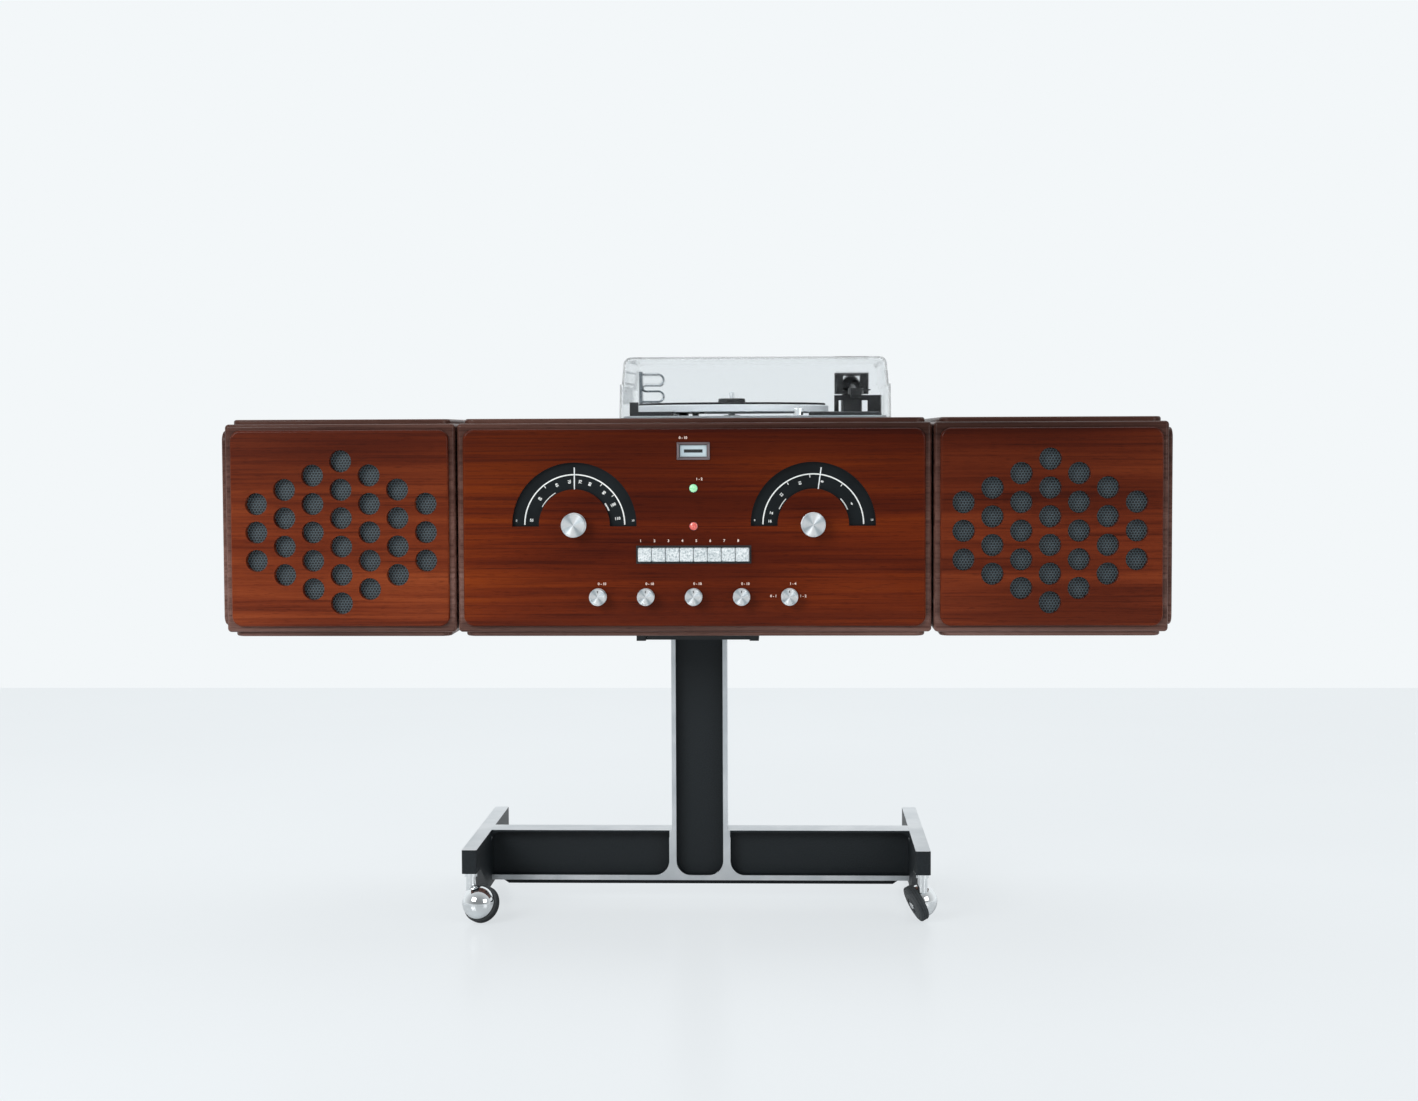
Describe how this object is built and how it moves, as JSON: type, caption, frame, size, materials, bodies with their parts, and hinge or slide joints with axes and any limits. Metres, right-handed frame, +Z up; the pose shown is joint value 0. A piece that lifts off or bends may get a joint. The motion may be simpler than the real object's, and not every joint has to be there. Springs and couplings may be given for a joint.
{
  "type": "record player",
  "caption": "Stereo record player with radio: wooden centre box between two lift-off speaker boxes, on a cast stand with ball casters, clear hinged cover over the deck.",
  "frame": {"origin": "middle of the base on the floor, at the bottom centre of the box", "axes": "+X to the right along the row of boxes, +Y to the back, +Z up"},
  "size_m": [1.246, 0.3791, 0.7493],
  "materials": {
    "rosewood": "glossy lacquered veneer",
    "cast_aluminium": "satin casting, sunk panels painted dark",
    "dark_steel": "satin black paint",
    "chrome": "polished",
    "tyre_rubber": "matte moulded",
    "spun_aluminium": "spun, fine rings",
    "button_plastic": "silvery moulded",
    "black_plastic": "fine grain moulded",
    "dial_print": "blue-black with white scale",
    "pointer_white": "white enamel",
    "meter_pewter": "satin pewter",
    "green_jewel": "translucent green",
    "red_jewel": "translucent red",
    "zinc_steel": "zinc plated sheet",
    "deck_metal": "grey enamel",
    "mat_rubber": "ribbed matte",
    "clear_acrylic": "clear moulded",
    "grille_metal": "black perforated sheet",
    "back_hardboard": "dark hardboard",
    "speaker_cone": "paper cone and painted basket"
  },
  "bodies": {
    "cabinet": {"stand_frame": "cast_aluminium", "foot_bars": "cast_aluminium", "mounting_plate": "dark_steel", "centre_shell": "rosewood", "front_panel": "rosewood", "back_panel": "back_hardboard", "dial_scales": "dial_print", "button_bezel": "black_plastic", "tuning_meter": "meter_pewter", "stereo_lamp": "green_jewel", "power_lamp": "red_jewel", "radio_chassis": "zinc_steel", "speaker_brackets": "zinc_steel", "deck_plate": "deck_metal", "deck_mouldings": "black_plastic", "drive_motor": "dark_steel", "cover_hinges": "black_plastic"},
    "cover": {"dust_cover": "clear_acrylic", "cover_spring": "chrome"},
    "platter": {"platter": "spun_aluminium", "platter_mat": "mat_rubber"},
    "idler": {"idler_wheel": "tyre_rubber"},
    "pulley": {"motor_pulley": "zinc_steel"},
    "gimbal": {"arm_gimbal": "black_plastic"},
    "arm": {"tonearm": "black_plastic", "counterweight": "black_plastic"},
    "speed": {"speed_lever": "chrome"},
    "tuning_left": {"tuning_knob_left": "spun_aluminium"},
    "pointer_left": {"dial_pointer_left": "pointer_white"},
    "tuning_right": {"tuning_knob_right": "spun_aluminium"},
    "pointer_right": {"dial_pointer_right": "pointer_white"},
    "bass": {"bass_knob": "spun_aluminium"},
    "treble": {"treble_knob": "spun_aluminium"},
    "balance": {"balance_knob": "spun_aluminium"},
    "volume": {"volume_knob": "spun_aluminium"},
    "selector": {"selector_knob": "spun_aluminium"},
    "button_1": {"push_button_1": "button_plastic"},
    "button_2": {"push_button_2": "button_plastic"},
    "button_3": {"push_button_3": "button_plastic"},
    "button_4": {"push_button_4": "button_plastic"},
    "button_5": {"push_button_5": "button_plastic"},
    "button_6": {"push_button_6": "button_plastic"},
    "button_7": {"push_button_7": "button_plastic"},
    "button_8": {"push_button_8": "button_plastic"},
    "speaker_left": {"speaker_shell_left": "rosewood", "speaker_front_left": "rosewood", "speaker_grille_left": "grille_metal", "speaker_drivers_left": "speaker_cone"},
    "speaker_right": {"speaker_shell_right": "rosewood", "speaker_front_right": "rosewood", "speaker_grille_right": "grille_metal", "speaker_drivers_right": "speaker_cone"},
    "caster_front_left": {"caster_hood_front_left": "chrome"},
    "wheel_front_left": {"caster_wheel_front_left": "tyre_rubber"},
    "caster_front_right": {"caster_hood_front_right": "chrome"},
    "wheel_front_right": {"caster_wheel_front_right": "tyre_rubber"},
    "caster_rear_left": {"caster_hood_rear_left": "chrome"},
    "wheel_rear_left": {"caster_wheel_rear_left": "tyre_rubber"},
    "caster_rear_right": {"caster_hood_rear_right": "chrome"},
    "wheel_rear_right": {"caster_wheel_rear_right": "tyre_rubber"}
  },
  "joints": [
    {"name": "cover_hinge", "type": "hinge", "parent": "cabinet", "child": "cover", "pos_m": [0.08, 0.177, 0.6743], "axis": [-1, 0, 0], "range_deg": [0, 75]},
    {"name": "platter_spin", "type": "hinge", "parent": "cabinet", "child": "platter", "pos_m": [0.046, 0.01, 0.68], "axis": [0, 0, 1], "continuous": true},
    {"name": "idler_spin", "type": "hinge", "parent": "cabinet", "child": "idler", "pos_m": [-0.02379, 0.07979, 0.68], "axis": [0, 0, 1], "continuous": true},
    {"name": "pulley_spin", "type": "hinge", "parent": "cabinet", "child": "pulley", "pos_m": [-0.00564, 0.04836, 0.68], "axis": [0, 0, 1], "continuous": true},
    {"name": "arm_swing", "type": "hinge", "parent": "cabinet", "child": "gimbal", "pos_m": [0.214, 0.105, 0.704], "axis": [0, 0, -1], "range_deg": [0, 44]},
    {"name": "arm_lift", "type": "hinge", "parent": "gimbal", "child": "arm", "pos_m": [0.214, 0.105, 0.716], "axis": [-1, 0, 0], "range_deg": [0, 8]},
    {"name": "speed_lever_turn", "type": "hinge", "parent": "cabinet", "child": "speed", "pos_m": [0.137, -0.126, 0.68], "axis": [0, 0, 1], "range_deg": [-20, 20]},
    {"name": "tuning_left_turn", "type": "hinge", "parent": "cabinet", "child": "tuning_left", "pos_m": [-0.156, -0.15, 0.53], "axis": [0, 1, 0], "range_deg": [-225, 225]},
    {"name": "pointer_left_turn", "type": "hinge", "parent": "cabinet", "child": "pointer_left", "pos_m": [-0.156, -0.15, 0.53], "axis": [0, 1, 0], "range_deg": [-75, 75]},
    {"name": "tuning_right_turn", "type": "hinge", "parent": "cabinet", "child": "tuning_right", "pos_m": [0.156, -0.15, 0.53], "axis": [0, 1, 0], "range_deg": [-249, 201]},
    {"name": "pointer_right_turn", "type": "hinge", "parent": "cabinet", "child": "pointer_right", "pos_m": [0.156, -0.15, 0.53], "axis": [0, 1, 0], "range_deg": [-83, 67]},
    {"name": "bass_turn", "type": "hinge", "parent": "cabinet", "child": "bass", "pos_m": [-0.125, -0.15, 0.43599], "axis": [0, 1, 0], "range_deg": [-140, 140]},
    {"name": "treble_turn", "type": "hinge", "parent": "cabinet", "child": "treble", "pos_m": [-0.0625, -0.15, 0.43599], "axis": [0, 1, 0], "range_deg": [-140, 140]},
    {"name": "balance_turn", "type": "hinge", "parent": "cabinet", "child": "balance", "pos_m": [0, -0.15, 0.43599], "axis": [0, 1, 0], "range_deg": [-140, 140]},
    {"name": "volume_turn", "type": "hinge", "parent": "cabinet", "child": "volume", "pos_m": [0.0625, -0.15, 0.43599], "axis": [0, 1, 0], "range_deg": [-140, 140]},
    {"name": "selector_turn", "type": "hinge", "parent": "cabinet", "child": "selector", "pos_m": [0.125, -0.15, 0.43599], "axis": [0, 1, 0], "range_deg": [-60, 60]},
    {"name": "button_1_press", "type": "slide", "parent": "cabinet", "child": "button_1", "axis": [0, 1, 0], "range_m": [0, 0.005], "stiffness_N_per_m": 180},
    {"name": "button_2_press", "type": "slide", "parent": "cabinet", "child": "button_2", "axis": [0, 1, 0], "range_m": [0, 0.005], "stiffness_N_per_m": 180},
    {"name": "button_3_press", "type": "slide", "parent": "cabinet", "child": "button_3", "axis": [0, 1, 0], "range_m": [0, 0.005], "stiffness_N_per_m": 180},
    {"name": "button_4_press", "type": "slide", "parent": "cabinet", "child": "button_4", "axis": [0, 1, 0], "range_m": [0, 0.005], "stiffness_N_per_m": 180},
    {"name": "button_5_press", "type": "slide", "parent": "cabinet", "child": "button_5", "axis": [0, 1, 0], "range_m": [0, 0.005], "stiffness_N_per_m": 180},
    {"name": "button_6_press", "type": "slide", "parent": "cabinet", "child": "button_6", "axis": [0, 1, 0], "range_m": [0, 0.005], "stiffness_N_per_m": 180},
    {"name": "button_7_press", "type": "slide", "parent": "cabinet", "child": "button_7", "axis": [0, 1, 0], "range_m": [0, 0.005], "stiffness_N_per_m": 180},
    {"name": "button_8_press", "type": "slide", "parent": "cabinet", "child": "button_8", "axis": [0, 1, 0], "range_m": [0, 0.005], "stiffness_N_per_m": 180},
    {"name": "speaker_left_lift", "type": "slide", "parent": "cabinet", "child": "speaker_left", "axis": [0, 0, 1], "range_m": [0, 0.014]},
    {"name": "speaker_right_lift", "type": "slide", "parent": "cabinet", "child": "speaker_right", "axis": [0, 0, 1], "range_m": [0, 0.014]},
    {"name": "caster_front_left_swivel", "type": "hinge", "parent": "cabinet", "child": "caster_front_left", "pos_m": [-0.3, -0.144, 0.05], "axis": [0, 0, 1], "continuous": true},
    {"name": "wheel_front_left_roll", "type": "hinge", "parent": "caster_front_left", "child": "wheel_front_left", "pos_m": [-0.28816, -0.15173, 0.02707], "axis": [0.383, 0.8214, -0.4226], "continuous": true},
    {"name": "caster_front_right_swivel", "type": "hinge", "parent": "cabinet", "child": "caster_front_right", "pos_m": [0.3, -0.144, 0.05], "axis": [0, 0, 1], "continuous": true},
    {"name": "wheel_front_right_roll", "type": "hinge", "parent": "caster_front_right", "child": "wheel_front_right", "pos_m": [0.29806, -0.12999, 0.02707], "axis": [-0.8712, -0.2498, -0.4226], "continuous": true},
    {"name": "caster_rear_left_swivel", "type": "hinge", "parent": "cabinet", "child": "caster_rear_left", "pos_m": [-0.3, 0.164, 0.05], "axis": [0, 0, 1], "continuous": true},
    {"name": "wheel_rear_left_roll", "type": "hinge", "parent": "caster_rear_left", "child": "wheel_rear_left", "pos_m": [-0.302, 0.15, 0.02707], "axis": [0.9063, 0, -0.4226], "continuous": true},
    {"name": "caster_rear_right_swivel", "type": "hinge", "parent": "cabinet", "child": "caster_rear_right", "pos_m": [0.3, 0.164, 0.05], "axis": [0, 0, 1], "continuous": true},
    {"name": "wheel_rear_right_roll", "type": "hinge", "parent": "caster_rear_right", "child": "wheel_rear_right", "pos_m": [0.30095, 0.14989, 0.02707], "axis": [0.8865, 0.1884, -0.4226], "continuous": true}
  ],
  "couplings": [
    {"joint": "idler_spin", "follows": "platter_spin", "ratio": 4.3},
    {"joint": "pulley_spin", "follows": "platter_spin", "ratio": -21.5},
    {"joint": "pointer_left_turn", "follows": "tuning_left_turn", "ratio": 0.33333},
    {"joint": "pointer_right_turn", "follows": "tuning_right_turn", "ratio": 0.33333}
  ]
}
